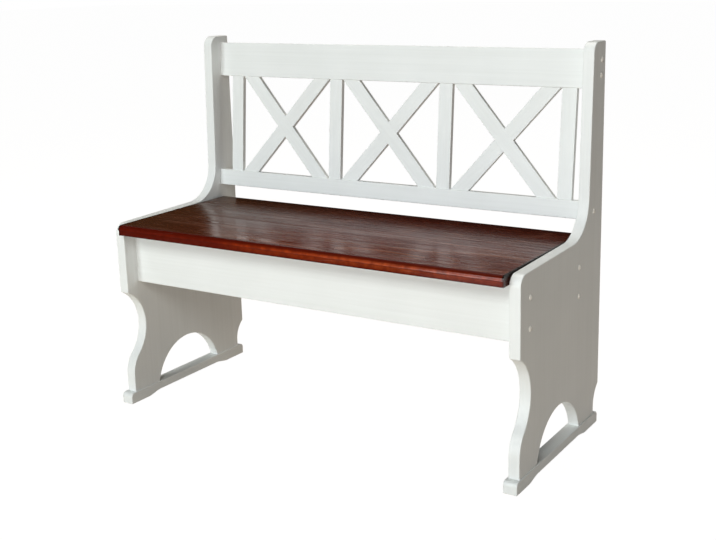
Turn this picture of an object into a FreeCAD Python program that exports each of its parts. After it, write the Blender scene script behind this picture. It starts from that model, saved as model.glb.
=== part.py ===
import FreeCAD, Part
import math
import os

from FreeCAD import Rotation, Vector

# A wooden bench: two shaped side panels on foot rails, a seat board on two aprons and two cleats, and a
# leaning back with half-lapped crosses between upright stiles. Sizes are in millimetres.
# Working frame: x is zero in the middle of the bench, y is zero at the front edge of the side panels and
# grows towards the back, z is zero on the floor. Each piece is shifted along y when it is written, so that
# the origin of the part is the middle of the underside of its bounding box.

# Side panels
panel_clear_width = 1048.0      # between the inner faces of the two panels
panel_thickness = 26.0
panel_depth = 445.0
bench_height = 902.0
panel_easing = 2.0              # radius along the edges of both faces

# Front edge of a side panel: a hollow waist over a round toe
waist_depth = 54.0              # deepest point of the hollow, behind the front edge
waist_height = 200.0            # height of that point above the floor
waist_radius = 104.0
toe_radius = 75.0

# Arm and back post of a side panel
arm_drop = 3.0                  # the arm's top edge starts this far below the top of the seat
arm_slope = 0.95                # degrees, rising towards the back
shoulder_radius = 25.0
post_depth = 84.0               # from the front to the rear edge of the post, where it meets the arm
post_lean = 2.05                # degrees from upright
sweep_radius = 89.0             # hollow between the arm and the post
post_top_radius = 25.0
post_rear_radius = 4.0

# Heel and arch of a side panel
heel_setback = 27.5             # the lower rear edge, ahead of the panel's rear edge
heel_radius = 61.0
heel_height = 45.0              # where the hollow of the heel begins, above the floor
arch_radius = 121.0             # the arch is a circle around a point on the floor

# Foot rails under the side panels
foot_height = 28.0
foot_width = 32.5
foot_front_reach = 19.0         # ahead of the panel's front edge
foot_rear_reach = 18.5          # behind the panel's heel
foot_end_radius = 10.0
foot_relief = 7.0               # height of the raised underside between the two pads
front_pad_length = 67.0
rear_pad_length = 78.0
pad_run_out = 35.0              # length over which a pad rises to the relief
pad_radius = 60.0
foot_easing = 2.0

# Dowels that join a foot rail to its panel
dowel_diameter = 8.0
dowel_in_foot = 15.0
dowel_in_panel = 25.0
dowel_edge_distance = 25.0      # from the ends of each landing of the panel on the rail
dowel_clearance = 0.1
dowel_end_gap = 1.0

# Seat board
seat_thickness = 25.0
seat_top = 469.5
seat_overhang = 21.0            # ahead of the panels' front edge
seat_tuck = 7.0                 # the seat reaches this far behind the front of the back's lowest edge
seat_end_gap = 3.0              # to each side panel
nosing_radius = 12.0
nosing_step = 2.5               # the lower band of the nosing is set back by this
seat_easing = 2.0

# Aprons under the seat
apron_thickness = 18.0
apron_height = 132.0
front_apron_setback = 39.0      # behind the panels' front edge
rear_apron_inset = 67.0         # ahead of the seat's rear edge
apron_easing = 2.0

# Cleats that carry the ends of the seat board
cleat_width = 30.0
cleat_height = 22.0
cleat_end_gap = 2.0             # to each apron
cleat_easing = 1.0

# Leaning back: the place of its lowest front edge, its slope and its two rails
back_recline = 5.2              # degrees from upright
back_setback = 21.0             # behind the front edge of the post
back_gap = 34.5                 # above the seat
post_above_back = 17.0          # the posts stand this far above the top rail
rail_thickness = 20.0
bottom_rail_height = 42.0
top_rail_height = 88.0
rail_easing = 2.0

# Lattice of the back
stile_count = 4
stile_width = 36.0
stile_thickness = 12.0
stile_setback = 2.0             # behind the front of the rails
lattice_left_gap = 39.5         # from the left panel to the first stile
lattice_right_gap = 26.0
brace_width = 36.0
brace_thickness = 12.0
brace_setback = 2.0
brace_corner_gap = 3.5          # from the corner of a bay to the edge of the brace
bar_easing = 1.0
tenon_clearance = 0.15
tenon_end_gap = 0.5
lap_clearance = 0.1

# Stub tenons of the lattice: width, thickness and length
stile_tenon = (24.0, 5.0, 12.0)
brace_tenon = (26.0, 4.0, 10.0)

# Wood screws, and the wooden buttons that cover those in the side panels
screw_head_diameter = 8.5
screw_head_height = 4.0
screw_diameter = 4.5
screw_point = 6.0
screw_clearance = 0.1
recess_span = 4.4
recess_width = 1.0
recess_depth = 1.6
panel_screw_bite = 38.0         # length of a panel screw in the piece that it holds
cleat_screw_bite = 13.0
seat_screw_bite = 13.0
counterbore_depth = 9.0
button_diameter = 10.0          # of its plug, in the counterbore
button_head_diameter = 13.0
button_rim = 0.8                # height of the head's straight rim above the panel
button_rise = 3.0               # height of the head above the panel
button_clearance = 0.1
button_screw_gap = 0.5

# Places of the screws
apron_screw_pitch = 67.0
top_rail_screw_edge = 23.0      # upper screw, below the top edge of the rail
top_rail_screw_pitch = 34.0
cleat_screw_inset = 30.0        # from the ends of the cleat
seat_screw_inset = 70.0
seat_screw_from_panel = 19.0

# Places that follow from the sizes above
inner_x = panel_clear_width / 2
outer_x = inner_x + panel_thickness
arm_height = seat_top - arm_drop
post_front = panel_depth - post_depth
heel_y = panel_depth - heel_setback
arch_middle = heel_y / 2
arch_half_chord = math.sqrt(arch_radius ** 2 - foot_height ** 2)
back_line_y = post_front + back_setback
back_line_height = seat_top + back_gap
back_height = (bench_height - post_above_back - back_line_height) / math.cos(math.radians(back_recline))
lattice_bottom = bottom_rail_height
lattice_top = back_height - top_rail_height
seat_rear = back_line_y + seat_tuck
seat_underside = seat_top - seat_thickness
apron_underside = seat_underside - apron_height
rear_apron_y = seat_rear - rear_apron_inset - apron_thickness
cleat_front = front_apron_setback + apron_thickness + cleat_end_gap
cleat_rear = rear_apron_y - cleat_end_gap
centre_y = (panel_depth - seat_overhang) / 2

# Screw lengths that follow
panel_screw_length = panel_thickness - counterbore_depth + panel_screw_bite
cleat_screw_length = cleat_width + cleat_screw_bite
seat_screw_length = cleat_height + seat_screw_bite

# The lattice's pitch, and the slope of its braces, which run from corner to corner of a bay
stile_pitch = ((panel_clear_width - lattice_left_gap - lattice_right_gap - stile_width)
               / (stile_count - 1))
first_stile_x = -inner_x + lattice_left_gap + stile_width / 2
brace_span = stile_pitch - stile_width - 2 * brace_corner_gap
brace_rise = lattice_top - lattice_bottom
brace_angle = (math.atan2(brace_rise, brace_span)
               + math.asin(brace_width / math.hypot(brace_span, brace_rise)))
brace_half_cut = brace_width / math.sin(brace_angle) / 2
stile_middle_y = stile_setback + stile_thickness / 2
brace_middle_y = brace_setback + brace_thickness / 2

X_AXIS = Vector(1, 0, 0)
Y_AXIS = Vector(0, 1, 0)
Z_AXIS = Vector(0, 0, 1)
ORIGIN = Vector(0, 0, 0)
TOLERANCE = 1e-6


def side_point(y, z):
    """A point of an outline in the y-z plane."""
    return Vector(0, y, z)


def on_circle(centre, radius, degrees):
    """A point of a circle in the y-z plane, with the angle measured from +y towards +z."""
    angle = math.radians(degrees)
    return centre + side_point(radius * math.cos(angle), radius * math.sin(angle))


def arc_step(centre, radius, start_degrees, end_degrees):
    """The middle and the end of an arc, as one step of an outline."""
    middle = (start_degrees + end_degrees) / 2
    return on_circle(centre, radius, middle), on_circle(centre, radius, end_degrees)


def bearing(start, end):
    """Angle of the line between two points of the y-z plane, in degrees."""
    return math.degrees(math.atan2(end.z - start.z, end.y - start.y))


def round_corner(before, corner, after, radius):
    """The steps that lead along the first side and round a corner: a line, then a tangent arc."""
    first = (before - corner).normalize()
    second = (after - corner).normalize()
    half_angle = first.getAngle(second) / 2
    reach = radius / math.tan(half_angle)
    centre = corner + (first + second).normalize() * (radius / math.sin(half_angle))
    middle = centre + (corner - centre).normalize() * radius
    return [(corner + first * reach,), (middle, corner + second * reach)]


def face_from(start, steps):
    """The face inside an outline. A step of one point is a line, and a step of two is an arc."""
    edges = []
    here = start
    for step in steps:
        end = step[-1]
        if len(step) == 2:
            edges.append(Part.Arc(here, step[0], end).toShape())
        else:
            edges.append(Part.LineSegment(here, end).toShape())
        here = end
    return Part.Face(Part.Wire(edges))


def rounded_face(corners):
    """The face inside a polygon whose corners are given as (point, radius)."""
    points = [point for point, _ in corners]
    steps = []
    for index, (point, radius) in enumerate(corners):
        after = points[(index + 1) % len(points)]
        steps += round_corner(points[index - 1], point, after, radius)
    return face_from(steps[-1][-1], steps)


def box(low, high):
    """A box between two opposite corners."""
    size = high - low
    return Part.makeBox(size.x, size.y, size.z, low)


def eased(solid, radius, wanted):
    """The solid with the wanted edges rounded."""
    return solid.makeFillet(radius, [edge for edge in solid.Edges if wanted(edge)])


def runs_along(edge, direction):
    """Whether a straight edge is parallel to a direction."""
    line = edge.Vertexes[-1].Point - edge.Vertexes[0].Point
    return line.Length > TOLERANCE and line.cross(direction).Length < TOLERANCE * line.Length


def rims_a_side(edge):
    """Whether an edge of a piece that was extruded along x lies around one of its two side faces."""
    ends = [vertex.Point for vertex in edge.Vertexes]
    return abs(ends[0].x - ends[-1].x) < TOLERANCE


def mirrored(solid):
    """The same piece for the other side of the bench."""
    return solid.mirror(ORIGIN, X_AXIS)


def for_side(side, solids):
    """Pieces that were made for the right side, placed on the side that is asked for."""
    return [mirrored(solid) for solid in solids] if side == "left" else solids


def turned(start, steps, origin, direction):
    """A solid of revolution: its half section stands in the x-z plane, and its axis is then placed."""
    solid = face_from(start, steps).revolve(ORIGIN, Z_AXIS, 360)
    solid.Placement = FreeCAD.Placement(origin, Rotation(Z_AXIS, direction))
    return solid


def screw_body(origin, direction, length, clearance=0.0):
    """A countersunk screw from the top of its head, or with a clearance the hole that it fills."""
    shank = screw_diameter / 2 + clearance
    steps = [
        (Vector(screw_head_diameter / 2 + clearance, 0, 0),),
        (Vector(shank, 0, screw_head_height + clearance),),
        (Vector(shank, 0, length - screw_point),),
        (Vector(0, 0, length + clearance),),
        (ORIGIN,),
    ]
    return turned(ORIGIN, steps, origin, direction)


def screw_bore(origin, direction, length):
    """The hole that a screw fills."""
    return screw_body(origin, direction, length, screw_clearance)


def screw(origin, direction, length):
    """A wood screw with a cross recess in its head."""
    slot = Part.makeBox(recess_span, recess_width, recess_depth,
                        Vector(-recess_span / 2, -recess_width / 2, 0))
    recess = slot.fuse(slot.rotated(ORIGIN, Z_AXIS, 90))
    recess.Placement = FreeCAD.Placement(origin, Rotation(Z_AXIS, direction))
    return screw_body(origin, direction, length).cut(recess)


def leaned(shape):
    """A shape of the back's own frame (x across, y behind the rails' front, z up the slope), placed."""
    placed = shape.copy()
    placed.rotate(ORIGIN, X_AXIS, -back_recline)
    placed.translate(side_point(back_line_y, back_line_height))
    return placed


def leaned_point(y, z):
    """A point of the back's own frame, placed in the bench."""
    turn = Rotation(X_AXIS, -back_recline)
    return turn.multVec(side_point(y, z)) + side_point(back_line_y, back_line_height)


def apron_screw_points(front):
    """Where the screws go through a panel into the apron whose front face is at the given y."""
    middle = side_point(front + apron_thickness / 2, seat_underside - apron_height / 2)
    return [middle + side_point(0, side * apron_screw_pitch / 2) for side in (-1, 1)]


def bottom_rail_screw_points():
    """Where the screw goes through a panel into the bottom rail."""
    return [leaned_point(rail_thickness / 2, bottom_rail_height / 2)]


def top_rail_screw_points():
    """Where the screws go through a panel into the top rail."""
    upper = back_height - top_rail_screw_edge
    return [leaned_point(rail_thickness / 2, height) for height in (upper - top_rail_screw_pitch, upper)]


def panel_screw_points():
    """Where all the screws go through a side panel."""
    return (apron_screw_points(front_apron_setback) + apron_screw_points(rear_apron_y)
            + bottom_rail_screw_points() + top_rail_screw_points())


def panel_screw_places(points):
    """The head of the right panel's screw at each point, with the direction that it is driven in."""
    return [(point + X_AXIS * (outer_x - counterbore_depth), -X_AXIS) for point in points]


def cleat_screw_places():
    """Screws from the right cleat into the panel."""
    height = seat_underside - cleat_height / 2
    rows = (cleat_front + cleat_screw_inset, (cleat_front + cleat_rear) / 2,
            cleat_rear - cleat_screw_inset)
    return [(Vector(inner_x - cleat_width, y, height), X_AXIS) for y in rows]


def seat_screw_places():
    """Screws from below, through the right cleat into the seat board."""
    height = seat_underside - cleat_height
    rows = (cleat_front + seat_screw_inset, cleat_rear - seat_screw_inset)
    return [(Vector(inner_x - seat_screw_from_panel, y, height), Z_AXIS) for y in rows]


def dowel_places():
    """The lower end of each dowel between the right foot rail and its panel."""
    rows = (
        dowel_edge_distance,
        arch_middle - arch_half_chord - dowel_edge_distance,
        arch_middle + arch_half_chord + dowel_edge_distance,
        heel_y - dowel_edge_distance,
    )
    middle_x = inner_x + panel_thickness / 2
    return [Vector(middle_x, y, foot_height - dowel_in_foot) for y in rows]


def dowel_bores():
    """The holes of the dowels, through the joint between the right foot rail and its panel."""
    length = dowel_in_foot + dowel_in_panel + dowel_end_gap
    return [Part.makeCylinder(dowel_diameter / 2 + dowel_clearance, length, origin)
            for origin in dowel_places()]


def cut_all(solid, tools):
    """The solid with every tool cut from it."""
    for tool in tools:
        solid = solid.cut(tool)
    return solid


def panel_face():
    """The outline of a side panel, from the front of its underside upwards and round."""
    waist = side_point(waist_depth - waist_radius, waist_height)
    toe_drop = math.sqrt((toe_radius + waist_radius) ** 2 - (toe_radius - waist.y) ** 2)
    toe = side_point(toe_radius, waist_height - toe_drop)
    toe_bearing = bearing(toe, waist)
    lip = side_point(0, waist_height + math.sqrt(waist_radius ** 2 - waist.y ** 2))
    slope = math.tan(math.radians(arm_slope))
    lean = math.tan(math.radians(post_lean))
    sweep_y = post_front / (1 - lean * slope)
    arm_corner = side_point(0, arm_height)
    sweep_corner = side_point(sweep_y, arm_height + slope * sweep_y)
    top_corner = side_point(post_front + lean * (bench_height - arm_height), bench_height)
    rear_corner = side_point(panel_depth, bench_height)
    heel = side_point(heel_y + heel_radius, heel_height)
    heel_rise = math.sqrt(heel_radius ** 2 - (heel_radius - heel_setback) ** 2)
    kink = side_point(panel_depth, heel_height + heel_rise)
    arch = side_point(arch_middle, 0)
    arch_start = math.degrees(math.asin(foot_height / arch_radius))

    start = side_point(0, foot_height)
    steps = [(side_point(0, toe.z),)]
    steps.append(arc_step(toe, toe_radius, 180, toe_bearing))
    steps.append(arc_step(waist, waist_radius, toe_bearing - 180, bearing(waist, lip)))
    steps += round_corner(lip, arm_corner, sweep_corner, shoulder_radius)
    steps += round_corner(arm_corner, sweep_corner, top_corner, sweep_radius)
    steps += round_corner(sweep_corner, top_corner, rear_corner, post_top_radius)
    steps += round_corner(top_corner, rear_corner, kink, post_rear_radius)
    steps.append((kink,))
    steps.append(arc_step(heel, heel_radius, bearing(heel, kink), 180))
    steps.append((side_point(heel_y, foot_height),))
    steps.append((on_circle(arch, arch_radius, arch_start),))
    steps.append(arc_step(arch, arch_radius, arch_start, 180 - arch_start))
    steps.append((start,))
    return face_from(start, steps)


def make_side_panel():
    """The right side panel, with its arch, screw holes and dowel holes."""
    solid = panel_face().extrude(X_AXIS * panel_thickness)

    def lies_on_the_foot(edge):
        straight = edge.Curve.TypeId == "Part::GeomLine"
        return straight and all(vertex.Z < foot_height + TOLERANCE for vertex in edge.Vertexes)

    solid = eased(solid, panel_easing, lambda edge: rims_a_side(edge) and not lies_on_the_foot(edge))
    solid.translate(X_AXIS * inner_x)
    tools = dowel_bores()
    for head, direction in panel_screw_places(panel_screw_points()):
        tools.append(screw_bore(head, direction, panel_screw_length))
        tools.append(Part.makeCylinder(button_diameter / 2 + button_clearance,
                                       counterbore_depth, head, X_AXIS))
    for head, direction in cleat_screw_places():
        tools.append(screw_bore(head, direction, cleat_screw_length))
    return cut_all(solid, tools)


def make_foot_rail():
    """The right foot rail: two pads, a raised underside between them and rounded top ends."""
    front = -foot_front_reach
    rear = heel_y + foot_rear_reach
    front_pad_end = front + front_pad_length
    rear_pad_end = rear - rear_pad_length
    solid = rounded_face([
        (side_point(front, 0), foot_easing),
        (side_point(front, foot_height), foot_end_radius),
        (side_point(rear, foot_height), foot_end_radius),
        (side_point(rear, 0), foot_easing),
        (side_point(rear_pad_end, 0), pad_radius),
        (side_point(rear_pad_end - pad_run_out, foot_relief), pad_radius),
        (side_point(front_pad_end + pad_run_out, foot_relief), pad_radius),
        (side_point(front_pad_end, 0), pad_radius),
    ]).extrude(X_AXIS * foot_width)
    solid = eased(solid, foot_easing, rims_a_side)
    solid.translate(X_AXIS * (inner_x + (panel_thickness - foot_width) / 2))
    return cut_all(solid, dowel_bores())


def make_seat_board():
    """The seat board, with a round nosing over a set-back band along its front."""
    length = panel_clear_width - 2 * seat_end_gap
    front = -seat_overhang
    nosing = side_point(front + nosing_radius, seat_top - nosing_radius)
    start = side_point(front + nosing_step, seat_underside)
    rear_top = side_point(seat_rear, seat_top)
    rear_bottom = side_point(seat_rear, seat_underside)
    steps = [(side_point(front + nosing_step, nosing.z),), (side_point(front, nosing.z),)]
    steps.append(arc_step(nosing, nosing_radius, 180, 90))
    steps += round_corner(steps[-1][-1], rear_top, rear_bottom, seat_easing)
    steps += round_corner(rear_top, rear_bottom, start, seat_easing)
    steps.append((start,))
    solid = face_from(start, steps).extrude(X_AXIS * length)
    solid.translate(X_AXIS * (-length / 2))
    bores = [screw_bore(head, direction, seat_screw_length) for head, direction in seat_screw_places()]
    return cut_all(solid, both_sides(bores))


def end_bored(solid, points):
    """A piece between the side panels, bored at both ends for the screws at the given points."""
    bores = [screw_bore(head, direction, panel_screw_length)
             for head, direction in panel_screw_places(points)]
    return cut_all(solid, both_sides(bores))


def make_apron(front):
    """An apron between the side panels, with its front face at the given y."""
    low = Vector(-inner_x, front, apron_underside)
    high = Vector(inner_x, front + apron_thickness, seat_underside)

    def lower_edge(edge):
        return runs_along(edge, X_AXIS) and edge.Vertexes[0].Z < apron_underside + TOLERANCE

    solid = eased(box(low, high), apron_easing, lower_edge)
    return end_bored(solid, apron_screw_points(front))


def make_cleat():
    """The right cleat, under the end of the seat board."""
    low = Vector(inner_x - cleat_width, cleat_front, seat_underside - cleat_height)
    high = Vector(inner_x, cleat_rear, seat_underside)

    def inner_lower_edge(edge):
        corner = edge.Vertexes[0].Point
        return runs_along(edge, Y_AXIS) and (corner - low).dot(X_AXIS + Z_AXIS) < TOLERANCE

    solid = eased(box(low, high), cleat_easing, inner_lower_edge)
    bores = [screw_bore(head, direction, cleat_screw_length) for head, direction in cleat_screw_places()]
    bores += [screw_bore(head, direction, seat_screw_length) for head, direction in seat_screw_places()]
    return cut_all(solid, bores)


def stile_x(index):
    """The x of the middle of a stile, counted from the left."""
    return first_stile_x + stile_pitch * index


def brace_ends(bay, kind):
    """The x of the lower and the upper end of a brace."""
    left = stile_x(bay) + stile_width / 2 + brace_corner_gap + brace_half_cut
    right = stile_x(bay + 1) - stile_width / 2 - brace_corner_gap - brace_half_cut
    return (right, left) if kind == "falling" else (left, right)


def tenons(ends, middle_y, size):
    """The stub tenons at the lower and the upper end of a bar, in the back's own frame."""
    width, thickness, length = size
    lower_x, upper_x = ends
    half = Vector(width / 2, thickness / 2, 0)
    lower = Vector(lower_x, middle_y, lattice_bottom)
    upper = Vector(upper_x, middle_y, lattice_top)
    return [box(lower - half - Z_AXIS * length, lower + half),
            box(upper - half, upper + half + Z_AXIS * length)]


def mortise_size(size):
    """The width, thickness and depth of the mortise for a tenon."""
    width, thickness, length = size
    return width + 2 * tenon_clearance, thickness + 2 * tenon_clearance, length + tenon_end_gap


def mortises(end):
    """The mortises for the lower (0) or the upper (1) end of every bar, in the back's own frame."""
    tools = []
    for index in range(stile_count):
        ends = (stile_x(index), stile_x(index))
        tools.append(tenons(ends, stile_middle_y, mortise_size(stile_tenon))[end])
    for bay in range(stile_count - 1):
        for kind in ("falling", "rising"):
            ends = brace_ends(bay, kind)
            tools.append(tenons(ends, brace_middle_y, mortise_size(brace_tenon))[end])
    return tools


def make_rail(bottom, top, end, screw_points):
    """A rail of the back between two heights up the slope, with the mortises for one end of the bars."""
    solid = box(Vector(-inner_x, 0, bottom), Vector(inner_x, rail_thickness, top))
    solid = eased(solid, rail_easing, lambda edge: runs_along(edge, X_AXIS))
    return end_bored(leaned(cut_all(solid, mortises(end))), screw_points)


def make_stile(index):
    """A stile of the lattice, with a stub tenon at each end."""
    middle = stile_x(index)
    low = Vector(middle - stile_width / 2, stile_setback, lattice_bottom)
    high = Vector(middle + stile_width / 2, stile_setback + stile_thickness, lattice_top)
    solid = eased(box(low, high), bar_easing, lambda edge: runs_along(edge, Z_AXIS))
    return leaned(solid.fuse(tenons((middle, middle), stile_middle_y, stile_tenon)))


def brace_bar(ends, clearance=0.0):
    """A slanting bar with level ends, or with a clearance the lap that it needs."""
    lower_x, upper_x = ends
    half = X_AXIS * (brace_half_cut * (1 + 2 * clearance / brace_width))
    lower = Vector(lower_x, brace_setback, lattice_bottom)
    upper = Vector(upper_x, brace_setback, lattice_top)
    corners = [lower - half, lower + half, upper + half, upper - half, lower - half]
    return Part.Face(Part.makePolygon(corners)).extrude(Y_AXIS * brace_thickness)


def make_brace(bay, kind):
    """A brace of a bay: the falling one laps over the rising one, and their faces lie flush.

    The edges are eased up to the lap and stay sharp in it, so that the joint closes.
    """
    ends = brace_ends(bay, kind)
    other_ends = brace_ends(bay, "rising" if kind == "falling" else "falling")
    along = Vector(ends[1] - ends[0], 0, brace_rise)
    bar = brace_bar(ends)
    crossing = bar.common(brace_bar(other_ends))
    solid = eased(bar, bar_easing, lambda edge: runs_along(edge, along)).fuse(crossing).removeSplitter()
    lap = brace_bar(other_ends, lap_clearance)
    half_thickness = Y_AXIS * (brace_thickness / 2)
    lap.translate(half_thickness if kind == "falling" else -half_thickness)
    return leaned(solid.cut(lap).fuse(tenons(ends, brace_middle_y, brace_tenon)))


def make_button(origin):
    """A wooden button over a screw of the right panel: a plug under a domed head that lies on the panel."""
    plug_radius = button_diameter / 2
    head_radius = button_head_diameter / 2
    plug_length = counterbore_depth - button_screw_gap
    dome_rise = button_rise - button_rim
    dome_radius = (head_radius ** 2 + dome_rise ** 2) / (2 * dome_rise)
    dome_centre = plug_length + button_rise - dome_radius
    half_angle = math.asin(head_radius / dome_radius) / 2
    dome_middle = Vector(dome_radius * math.sin(half_angle), 0,
                         dome_centre + dome_radius * math.cos(half_angle))
    steps = [
        (Vector(plug_radius, 0, 0),),
        (Vector(plug_radius, 0, plug_length),),
        (Vector(head_radius, 0, plug_length),),
        (Vector(head_radius, 0, plug_length + button_rim),),
        (dome_middle, Vector(0, 0, plug_length + button_rise)),
        (ORIGIN,),
    ]
    return turned(ORIGIN, steps, origin + X_AXIS * button_screw_gap, X_AXIS)


def make_dowel(origin):
    """A dowel between a foot rail and its panel."""
    return Part.makeCylinder(dowel_diameter / 2, dowel_in_foot + dowel_in_panel, origin)


def both_sides(solids):
    """The solids of the right side with their mirror images."""
    return solids + [mirrored(solid) for solid in solids]


def screws_at(places, length):
    """A screw at each place of the right side, and its mirror image."""
    return both_sides([screw(head, direction, length) for head, direction in places])


def write(name, solids):
    """Write one node, shifted so that the part's origin is the middle of its underside."""
    shape = solids[0] if len(solids) == 1 else Part.makeCompound(solids)
    placed = shape.copy()
    placed.translate(side_point(-centre_y, 0))
    placed.exportStep("parts/" + name + ".step")


os.makedirs("parts", exist_ok=True)

button_places = panel_screw_places(panel_screw_points())
side_pieces = {
    "side_panel": [make_side_panel()],
    "foot_rail": [make_foot_rail()],
    "seat_cleat": [make_cleat()],
    "foot_dowels": [make_dowel(origin) for origin in dowel_places()],
    "screw_buttons": [make_button(head) for head, _ in button_places],
}
for side in ("left", "right"):
    for name, solids in side_pieces.items():
        write(side + "_" + name, for_side(side, solids))

write("seat_board", [make_seat_board()])
write("front_apron", [make_apron(front_apron_setback)])
write("rear_apron", [make_apron(rear_apron_y)])
write("bottom_rail", [make_rail(0, lattice_bottom, 0, bottom_rail_screw_points())])
write("top_rail", [make_rail(lattice_top, back_height, 1, top_rail_screw_points())])
for index in range(stile_count):
    write("stile_%d" % (index + 1), [make_stile(index)])
for bay in range(stile_count - 1):
    for kind in ("falling", "rising"):
        write("cross_%d_%s_brace" % (bay + 1, kind), [make_brace(bay, kind)])

apron_points = apron_screw_points(front_apron_setback) + apron_screw_points(rear_apron_y)
rail_points = bottom_rail_screw_points() + top_rail_screw_points()
write("apron_screws", screws_at(panel_screw_places(apron_points), panel_screw_length))
write("back_rail_screws", screws_at(panel_screw_places(rail_points), panel_screw_length))
write("cleat_screws", screws_at(cleat_screw_places(), cleat_screw_length))
write("seat_screws", screws_at(seat_screw_places(), seat_screw_length))
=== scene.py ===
import math

import bmesh
import bpy
from mathutils import Matrix, Vector


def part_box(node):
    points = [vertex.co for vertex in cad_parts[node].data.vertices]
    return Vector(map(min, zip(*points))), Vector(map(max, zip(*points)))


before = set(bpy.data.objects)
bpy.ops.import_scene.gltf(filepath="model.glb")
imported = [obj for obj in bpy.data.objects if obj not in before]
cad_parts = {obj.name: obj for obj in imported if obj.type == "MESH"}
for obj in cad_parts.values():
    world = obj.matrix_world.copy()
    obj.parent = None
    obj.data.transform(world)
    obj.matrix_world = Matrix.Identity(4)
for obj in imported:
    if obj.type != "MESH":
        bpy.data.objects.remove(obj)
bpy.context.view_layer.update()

MM = 0.001

# The camera stands where the straight edges of the bench meet in the picture.
CAMERA_PLACE = Vector((1.446, -2.186, 1.065))
CAMERA_TURN = math.radians(31.75)
CAMERA_DOWN = math.radians(13.78)
CAMERA_ROLL = math.radians(-1.34)
CAMERA_LENS = 56.5
CAMERA_SENSOR = 36
CAMERA_SHIFT = (-0.0317, -0.0343)

# Soft round lamps: name, place, watts and colour
LAMPS = (
    ("left_window", (-1.6, -4.3, 0.4), 74, "effbff"),
    ("left_skylight", (-1.6, -4.3, 3.4), 64, "f4fbfd"),
    ("right_window", (1.5, -4.3, 0.4), 63, "f3f6ff"),
    ("right_skylight", (1.5, -4.3, 3.4), 85, "fafcfa"),
    ("ceiling", (-0.5, 1.0, 4.0), 66, "fffaf2"),
)
LAMP_WIDTH = 2.0
LAMP_AIM = Vector((0, 0, 0.45))
ROOM_LIGHT = 0.03
ROOM_COLOUR = "ffffff"

# Dark cloths for the lacquer of the seat to mirror: one hangs behind the bench, one stands in front of its
# left end, and one is stretched overhead. Only gloss sees them. Name, middle, tilt, width and height
CLOTHS = (
    ("back_cloth", Vector((-1.45, 1.9, 1.4)), math.pi / 2, 4.7, 2.5),
    ("front_cloth", Vector((-1.3, -1.2, 1.1)), math.pi / 2, 2.2, 2.2),
    ("top_cloth", Vector((-1.2, -0.3, 2.9)), 0, 5.0, 4.4),
)
CLOTH_COLOUR = "2b2623"

FLOOR_COLOUR = "d0bfa6"
FLOOR_GLOW_SHARE = 0.88
FLOOR_GLOW = 1.12
FLOOR_HALF_SIZE = 30

# Wood, paint and lacquer all bend light alike.
COAT_IOR = 1.5
PANEL_STAVE = 95 * MM

# The seat board is glued from four staves of flat-sawn pine.
SEAT_LOW, SEAT_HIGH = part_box("seat_board")
SEAT_STAVE = (SEAT_HIGH.y - SEAT_LOW.y) / 4
# Each stave is cut above the heart of its own tree, and is shifted in it at random. The heart wanders by a
# share of HEART_WANDER, and HEART_BACK takes back the mean of shift and wander.
HEART_DEPTH = 90 * MM
STAVE_SHIFT = (3.0, 30 * MM, 40 * MM)
HEART_WANDER = (0, 60 * MM, 110 * MM)
HEART_BACK = (0, -45 * MM, -60 * MM)
# Rings are 4 mm apart in life, and are drawn wider apart so that they show.
RING_GAP = 12 * MM
# A wave of scale 1 repeats after this length.
WAVE_LENGTH = math.pi / 10
# Between these two distances behind the front of the seat, the top gives way to the nosing.
NOSING_START = 13 * MM
NOSING_FULL = 9 * MM


def first_output(node):
    """The first output of a node that is in use."""
    return next(each for each in node.outputs if each.enabled)


def add(tree, kind, inputs=None, **settings):
    """Add a node. An input is a value, a socket, or a node, which gives its first output in use."""
    made = tree.nodes.new(kind)
    for name, value in settings.items():
        setattr(made, name, value)
    for name, value in (inputs or {}).items():
        socket = made.inputs[name] if isinstance(name, int) else next(
            each for each in made.inputs if each.enabled and each.name == name)
        if isinstance(value, bpy.types.Node):
            value = first_output(value)
        if isinstance(value, bpy.types.NodeSocket):
            tree.links.new(value, socket)
        else:
            socket.default_value = value
    return made


def colour(text):
    """An sRGB hex value as linear red, green, blue and alpha."""
    values = [int(text[start:start + 2], 16) / 255 for start in (0, 2, 4)]
    return [value / 12.92 if value <= 0.04045 else ((value + 0.055) / 1.055) ** 2.4
            for value in values] + [1.0]


def reckon(tree, operation, *values):
    """A sum on one to three numbers."""
    return add(tree, "ShaderNodeMath", dict(enumerate(values)), operation=operation)


def reckon_vectors(tree, operation, *values):
    """A sum on two or three vectors."""
    return add(tree, "ShaderNodeVectorMath", dict(enumerate(values)), operation=operation)


def spread(tree, value, low, high, to_low=0.0, to_high=1.0, **settings):
    """A value that runs from low to high, spread over another range."""
    return add(tree, "ShaderNodeMapRange", {"Value": value, "From Min": low, "From Max": high,
                                            "To Min": to_low, "To Max": to_high}, **settings)


def stretch(tree, place, scale):
    """A place with its axes scaled. A pattern of scale 1 drawn there has features 1 / scale metres long."""
    return add(tree, "ShaderNodeMapping", {"Vector": place, "Scale": scale})


def noise(tree, place, scale=1, detail=2, roughness=0.5):
    return add(tree, "ShaderNodeTexNoise",
               {"Vector": place, "Scale": scale, "Detail": detail, "Roughness": roughness})


def mix(tree, share, first, second):
    """Two colours mixed by a share. A colour is a hex value or a node."""
    first, second = (colour(each) if isinstance(each, str) else each for each in (first, second))
    return add(tree, "ShaderNodeMix", {"Factor": share, "A": first, "B": second}, data_type="RGBA")


def bump(tree, height, depth):
    return add(tree, "ShaderNodeBump", {"Height": height, "Distance": depth, "Strength": 1.0})


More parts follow.
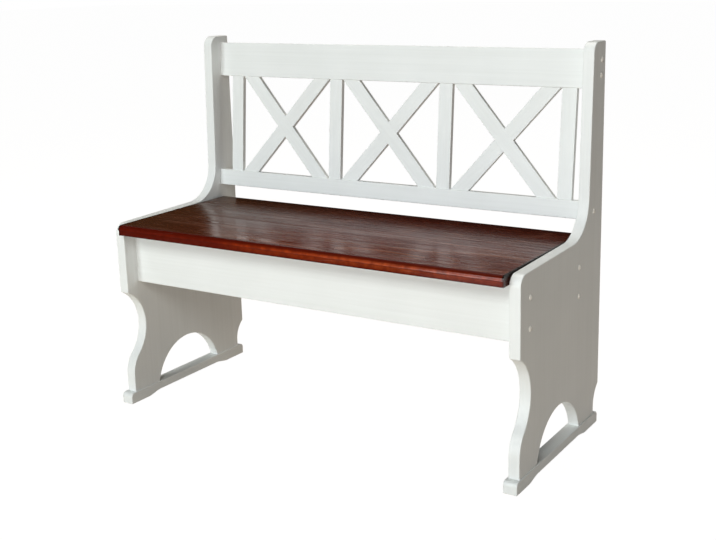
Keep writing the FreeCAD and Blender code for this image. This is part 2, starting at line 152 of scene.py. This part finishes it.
def ramp(tree, share, stops):
    """A colour ramp over a share. Its first two stops are its ends."""
    made = add(tree, "ShaderNodeValToRGB", {"Fac": share})
    for index, (position, text) in enumerate(stops):
        stop = made.color_ramp.elements[index] if index < 2 else made.color_ramp.elements.new(position)
        stop.position = position
        stop.color = colour(text)
    return made


def stave_lot(tree, position, width):
    """The number of the stave at a position across the board, and the random draw of that stave."""
    index = reckon(tree, "FLOOR", reckon(tree, "DIVIDE", position, width))
    return index, add(tree, "ShaderNodeTexWhiteNoise", {"W": index}, noise_dimensions="1D")


def emptied_tree(owner):
    """The node tree of a material or a world, without its first nodes."""
    owner.use_nodes = True
    owner.node_tree.nodes.clear()
    return owner.node_tree


def new_material(name, **constants):
    """A material, its tree, and its shader, whose sockets take the constants; nodes feed the others."""
    material = bpy.data.materials.new(name)
    tree = emptied_tree(material)
    shader = add(tree, "ShaderNodeBsdfPrincipled",
                 {name.replace("_", " "): value for name, value in constants.items()})
    add(tree, "ShaderNodeOutputMaterial", {"Surface": shader})
    return material, tree, shader


def feed(tree, shader, sources):
    """Link a node to each named socket of the shader."""
    for socket, node in sources.items():
        tree.links.new(first_output(node), shader.inputs[socket])


def object_coordinates(tree):
    return add(tree, "ShaderNodeTexCoord").outputs["Object"]


def painted_pine(name, turn=(0, 0, 0), stave=0):
    """Pine boards under two coats of sprayed satin enamel.

    The paint is smooth and nearly white. The soft rings of the pine have sunk a little below it, so long
    faint ridges run along each board, and the spray has left a fine orange peel. Where a panel is glued
    from staves, each stave shows a shade differently. The turn lays the grain along x.
    """
    material, tree, shader = new_material(name, IOR=COAT_IOR)
    place = object_coordinates(tree)
    along = add(tree, "ShaderNodeMapping", {"Vector": place, "Rotation": turn})
    # Rings 7 mm apart that stay together for 400 mm along the board
    rings = noise(tree, stretch(tree, along, (2.5, 140, 140)), detail=3, roughness=0.6)
    # Orange peel is 1 to 2 mm in life, and is drawn 4 mm wide so that it shows.
    peel = noise(tree, place, 250)
    # The coats vary by a shade over 160 mm.
    tone = reckon(tree, "ADD", noise(tree, place, 6), rings)
    if stave:
        parts = add(tree, "ShaderNodeSeparateXYZ", {"Vector": along})
        lot = stave_lot(tree, parts.outputs["Y"], stave)[1]
        tone = reckon(tree, "MULTIPLY_ADD", lot, 0.35, tone)
    height = reckon(tree, "MULTIPLY_ADD", rings, 2.0, peel)
    feed(tree, shader, {
        "Base Color": mix(tree, spread(tree, tone, 0.6, 1.6), "e4e6e3", "eff1ef"),
        "Roughness": spread(tree, peel, 0, 1, 0.36, 0.48),
        "Normal": bump(tree, height, 0.08 * MM),
    })
    return material


def grown_place(tree, parts):
    """Where the wood of the seat stood in its tree, with the heart along x. Each stave has its own tree."""
    across = reckon(tree, "SUBTRACT", parts.outputs["Y"], SEAT_LOW.y)
    index, lot = stave_lot(tree, across, SEAT_STAVE)
    middle = reckon(tree, "MULTIPLY_ADD", index, SEAT_STAVE, SEAT_LOW.y + SEAT_STAVE / 2)
    across = reckon(tree, "SUBTRACT", parts.outputs["Y"], middle)
    below = reckon(tree, "ADD", parts.outputs["Z"], HEART_DEPTH - SEAT_HIGH.z)
    stave = add(tree, "ShaderNodeCombineXYZ", {"X": parts.outputs["X"], "Y": across, "Z": below})
    shift = reckon_vectors(tree, "MULTIPLY", lot.outputs["Color"], STAVE_SHIFT)
    return reckon_vectors(tree, "ADD", stave, shift)


def hard_rings(tree, grown):
    """One on the hard rings of flat-sawn pine, and zero between them."""
    # The heart of the tree wanders by some 40 mm over 600 mm, which closes the rings into long arches.
    wander = noise(tree, stretch(tree, grown, (1.7, 0, 0)), detail=1)
    wander = reckon_vectors(tree, "MULTIPLY_ADD", wander.outputs["Color"], HEART_WANDER, grown)
    flat = add(tree, "ShaderNodeMapping", {"Vector": wander, "Location": HEART_BACK, "Scale": (0.08, 1, 1)})
    rings = add(tree, "ShaderNodeTexWave",
                {"Vector": flat, "Scale": WAVE_LENGTH / RING_GAP, "Distortion": 3.5, "Detail": 2.0,
                 "Detail Scale": 0.5, "Detail Roughness": 0.6},
                wave_type="RINGS", rings_direction="X", wave_profile="SAW")
    return spread(tree, rings.outputs["Fac"], 0.5, 0.92, interpolation_type="SMOOTHSTEP")


def top_stain_and_painted_light(tree, parts, grown, late, fibre, streak):
    """The colours of the seat's top."""
    # The stain has pooled in clouds 120 mm long and 40 mm wide. Painted light makes the top lighter, with
    # more pale grain, towards the front and darker at the back.
    cloud = noise(tree, stretch(tree, grown, (8, 25, 25)))
    painted_front_light = spread(tree, parts.outputs["Y"], SEAT_HIGH.y - 20 * MM, SEAT_LOW.y + 80 * MM)
    tone = spread(tree, reckon(tree, "MULTIPLY_ADD", cloud, painted_front_light, fibre), 0.35, 1.25)
    # Painted shade makes the left end darker and browner, with less of the grain showing.
    right = spread(tree, parts.outputs["X"], SEAT_LOW.x, 0.0, 0.3)
    tone = reckon(tree, "MULTIPLY", tone, right)
    dark = mix(tree, right, "492c14", mix(tree, tone, "381007", "682a16"))
    share = reckon(tree, "MULTIPLY", spread(tree, painted_front_light, 0, 1, 0.12, 0.72), streak)
    share = reckon(tree, "MULTIPLY", late, share)
    share = reckon(tree, "MULTIPLY", share, right)
    # The hard rings are paler than the soft wood, and their colour is made lighter and greyer as a painted
    # highlight of the lacquer's gloss on them.
    wood = mix(tree, share, dark, "8a5c4a")
    # Painted highlight: away from the back, a few hard rings 4 mm wide and 120 mm long are drawn as pale
    # glinting lines.
    painted_glints = spread(tree, noise(tree, stretch(tree, grown, (8, 240, 240)), detail=1), 0.68, 0.75)
    painted_glints = reckon(tree, "MULTIPLY", painted_glints, right)
    painted_glints = reckon(tree, "MULTIPLY", painted_glints, painted_front_light)
    return mix(tree, painted_glints, wood, "ac8170")


def nosing_stain_and_painted_light(tree, place, parts):
    """The colours of the nosing.

    Read up its height it carries painted shade, dark at its arrises and in a line in the quirk between its
    band and its round, and painted light, lightest on the round just above the quirk. Along it the wood
    turns from red to orange and back.
    """
    height = spread(tree, parts.outputs["Z"], SEAT_LOW.z, SEAT_HIGH.z)
    # Painted shade at the arrises and in the quirk, and painted light on the round, up the height of the
    # nosing
    profile = ramp(tree, height, ((0.06, "000000"), (0.97, "000000"), (0.14, "999999"), (0.42, "cccccc"),
                                  (0.505, "777777"), (0.56, "eeeeee"), (0.66, "ffffff"), (0.84, "555555")))
    length = spread(tree, parts.outputs["X"], SEAT_LOW.x, SEAT_HIGH.x)
    warm = ramp(tree, length, ((0.0, "5a1307"), (1.0, "903218"), (0.3, "681a08"), (0.36, "8a2c0a"),
                               (0.51, "9a360b"), (0.75, "a64418"), (0.92, "96391a")))
    # Small blotches of stain 12 mm long
    lively = spread(tree, noise(tree, place, 80), 0.3, 0.7, 0.4, 1.15)
    return mix(tree, reckon(tree, "MULTIPLY", lively, profile), "4c0f05", warm)


def painted_end_gap_shade(tree, parts):
    """Painted shade of the gap between the seat's ends and the side panels, near black along the ends and
    most at their upper arris.
    """
    from_middle = reckon(tree, "ABSOLUTE", parts.outputs["X"])
    ends = spread(tree, from_middle, SEAT_HIGH.x - 5 * MM, SEAT_HIGH.x - 2 * MM)
    arris = spread(tree, parts.outputs["Z"], SEAT_HIGH.z - 12 * MM, SEAT_HIGH.z - 5 * MM, 0.55)
    return reckon(tree, "MULTIPLY", ends, arris)


def stained_pine():
    """Flat-sawn pine, stained dark mahogany and sprayed with satin lacquer.

    The soft wood between the rings drinks the stain and goes nearly black-brown, and the hard rings stay
    paler and pinkish, so arches and long streaks stand out along the seat. The rounded nosing is painted
    brighter and redder than the top as painted light, runs from deep red to orange-brown along its length,
    and carries painted shade as a dark line in its quirk and along its arrises.
    """
    material, tree, shader = new_material("stained_lacquered_pine", IOR=COAT_IOR)
    place = object_coordinates(tree)
    parts = add(tree, "ShaderNodeSeparateXYZ", {"Vector": place})
    grown = grown_place(tree, parts)
    late = hard_rings(tree, grown)
    # Fibres from 13 mm wide and 300 mm long down to 1 mm wide
    fibre = noise(tree, stretch(tree, grown, (3.3, 78, 78)), detail=4, roughness=0.58)
    streak = spread(tree, fibre, 0.38, 0.66)
    front = spread(tree, parts.outputs["Y"], SEAT_LOW.y + NOSING_START, SEAT_LOW.y + NOSING_FULL)
    # The nosing takes a brighter, redder colour than the top, as painted light on the face turned to the
    # lamps.
    body = mix(tree, front, top_stain_and_painted_light(tree, parts, grown, late, fibre, streak),
               nosing_stain_and_painted_light(tree, place, parts))
    sheen = spread(tree, streak, 0, 1, 0.32, 0.14)
    feed(tree, shader, {
        # Painted shade darkens the seat's ends where they meet the side panels.
        "Base Color": mix(tree, painted_end_gap_shade(tree, parts), body, "150906"),
        "Roughness": add(tree, "ShaderNodeMix", {"Factor": front, "A": sheen, "B": 0.16}),
        # The nosing carries more lacquer than the top, which hands and rags have rubbed down.
        "Specular IOR Level": add(tree, "ShaderNodeMix", {"Factor": front, "A": 0.16, "B": 0.25}),
        "Normal": bump(tree, reckon(tree, "ADD", late, fibre), 0.15 * MM),
    })
    return material


def dipped_buttons():
    """Wooden screw buttons dipped in enamel: a thick glossy coat that levels out to a round gleam. The
    enamel is painted paler and creamier than on the panels, as painted light that brightens the buttons.
    """
    material, tree, shader = new_material("dipped_enamel_buttons", IOR=COAT_IOR)
    # The coat has pooled unevenly over 6 mm.
    pool = noise(tree, object_coordinates(tree), 160)
    feed(tree, shader, {
        # Painted light: the buttons are coloured paler than the panels' enamel so that they show brighter.
        "Base Color": mix(tree, pool, "f0ebe2", "fbf8f2"),
        "Roughness": spread(tree, pool, 0, 1, 0.16, 0.28),
        "Normal": bump(tree, pool, 0.05 * MM),
    })
    return material


def bare_beech():
    """Turned beech dowels, pale pinkish brown with short dark flecks along them."""
    material, tree, shader = new_material("turned_beech", Roughness=0.6, IOR=COAT_IOR)
    # Flecks 0.6 mm wide and 4 mm long
    fleck = noise(tree, stretch(tree, object_coordinates(tree), (1600, 1600, 250)))
    feed(tree, shader, {
        "Base Color": mix(tree, fleck, "b98d62", "dcb88c"),
        "Normal": bump(tree, fleck, 0.05 * MM),
    })
    return material


def zinc_steel():
    """Zinc-plated steel screws: bright, slightly blue metal with a fine crystal bloom in its sheen."""
    material, tree, shader = new_material("zinc_plated_steel", Metallic=1.0)
    # Bloom about 0.7 mm across
    bloom = noise(tree, object_coordinates(tree), 1400)
    feed(tree, shader, {
        "Base Color": mix(tree, bloom, "a9adb0", "c9ccce"),
        "Roughness": spread(tree, bloom, 0, 1, 0.25, 0.42),
    })
    return material


def finish_nodes():
    """Give each piece of the bench its finish, with the grain along its own length."""
    low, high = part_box("cross_1_rising_brace")
    slope = math.atan2(high.z - low.z, high.x - low.x)
    upright = painted_pine("white_enamel_on_glued_panels", (0, math.pi / 2, 0), PANEL_STAVE)
    stile = painted_pine("white_enamel_on_stiles", (0, math.pi / 2, 0))
    lengthwise = painted_pine("white_enamel_on_rails")
    crosswise = painted_pine("white_enamel_on_foot_rails", (0, 0, -math.pi / 2))
    rising = painted_pine("white_enamel_on_rising_braces", (0, slope, 0))
    falling = painted_pine("white_enamel_on_falling_braces", (0, -slope, 0))
    # Part of a name, finish and slot. A piece takes the first that its name holds.
    finishes = (
        ("side_panel", upright, "white_paint"),
        ("foot_rail", crosswise, "white_paint"),
        ("seat_cleat", crosswise, "white_paint"),
        ("_screws", zinc_steel(), "zinc_steel"),
        ("screw_buttons", dipped_buttons(), "painted_buttons"),
        ("foot_dowels", bare_beech(), "bare_beech"),
        ("seat_board", stained_pine(), "stained_pine"),
        ("apron", lengthwise, "white_paint"),
        ("bottom_rail", lengthwise, "white_paint"),
        ("top_rail", lengthwise, "white_paint"),
        ("stile", stile, "white_paint"),
        ("rising_brace", rising, "white_paint"),
        ("falling_brace", falling, "white_paint"),
    )
    for name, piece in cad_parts.items():
        material, slot = next((each, slot) for part, each, slot in finishes if part in name)
        piece.data.materials.clear()
        piece.data.materials.append(material)


def new_object(name, data):
    """A new object that shows in the scene."""
    made = bpy.data.objects.new(name, data)
    bpy.context.scene.collection.objects.link(made)
    return made


def make_camera():
    data = bpy.data.cameras.new("camera")
    data.lens = CAMERA_LENS
    data.sensor_width = CAMERA_SENSOR
    data.sensor_fit = "HORIZONTAL"
    data.shift_x, data.shift_y = CAMERA_SHIFT
    camera = new_object("camera", data)
    turn = (Matrix.Rotation(CAMERA_TURN, 4, "Z") @ Matrix.Rotation(math.pi / 2 - CAMERA_DOWN, 4, "X")
            @ Matrix.Rotation(CAMERA_ROLL, 4, "Z"))
    camera.matrix_world = Matrix.Translation(CAMERA_PLACE) @ turn
    bpy.context.scene.camera = camera


def flat_sheet(name, width, height):
    """A flat sheet around the origin, facing up."""
    shape = bmesh.new()
    bmesh.ops.create_grid(shape, x_segments=1, y_segments=1, size=0.5)
    bmesh.ops.scale(shape, vec=(width, height, 1), verts=shape.verts)
    mesh = bpy.data.meshes.new(name)
    shape.to_mesh(mesh)
    shape.free()
    sheet = new_object(name, mesh)
    return sheet


def seen_white(tree):
    """One where the camera, gloss or clear material sees a background, and zero for the light it sends."""
    path = add(tree, "ShaderNodeLightPath")
    shown = reckon(tree, "MAXIMUM", path.outputs["Is Camera Ray"], path.outputs["Is Glossy Ray"])
    return reckon(tree, "MAXIMUM", shown, path.outputs["Is Transmission Ray"])


def make_floor():
    """A pale floor that looks white, keeps the shadow of the bench and throws a warm light up."""
    floor = flat_sheet("floor", 2 * FLOOR_HALF_SIZE, 2 * FLOOR_HALF_SIZE)
    material = bpy.data.materials.new("pale_floor")
    tree = emptied_tree(material)
    matt = add(tree, "ShaderNodeBsdfDiffuse", {"Color": colour(FLOOR_COLOUR)})
    glow = add(tree, "ShaderNodeEmission", {"Color": colour("ffffff"), "Strength": FLOOR_GLOW})
    share = reckon(tree, "MULTIPLY", seen_white(tree), FLOOR_GLOW_SHARE)
    surface = add(tree, "ShaderNodeMixShader", {0: share, 1: matt, 2: glow})
    add(tree, "ShaderNodeOutputMaterial", {"Surface": surface})
    floor.data.materials.append(material)


def make_cloths():
    """The dark cloths that the seat mirrors, out of sight of the camera and in nobody's light."""
    material = bpy.data.materials.new("dark_cotton")
    tree = emptied_tree(material)
    matt = add(tree, "ShaderNodeBsdfDiffuse", {"Color": colour(CLOTH_COLOUR)})
    add(tree, "ShaderNodeOutputMaterial", {"Surface": matt})
    for name, middle, tilt, width, height in CLOTHS:
        cloth = flat_sheet(name, width, height)
        cloth.data.transform(Matrix.Translation(middle) @ Matrix.Rotation(tilt, 4, "X"))
        cloth.visible_camera = cloth.visible_diffuse = False
        cloth.visible_shadow = cloth.visible_transmission = False
        cloth.data.materials.append(material)


def make_lamps():
    for name, place, watts, tint in LAMPS:
        data = bpy.data.lights.new(name, "AREA")
        data.shape = "DISK"
        data.size = LAMP_WIDTH
        data.energy = watts
        data.color = colour(tint)[:3]
        lamp = new_object(name, data)
        lamp.location = place
        lamp.rotation_euler = (LAMP_AIM - Vector(place)).to_track_quat("-Z", "Y").to_euler()


def make_room():
    """The room around the bench, which looks white and sends a little light."""
    world = bpy.data.worlds.new("studio")
    bpy.context.scene.world = world
    tree = emptied_tree(world)
    level = spread(tree, seen_white(tree), 0, 1, ROOM_LIGHT)
    sky = add(tree, "ShaderNodeBackground", {"Color": colour(ROOM_COLOUR), "Strength": level})
    add(tree, "ShaderNodeOutputWorld", {"Surface": sky})


finish_nodes()
make_camera()
make_floor()
make_cloths()
make_lamps()
make_room()
bpy.context.scene.view_settings.view_transform = "Standard"
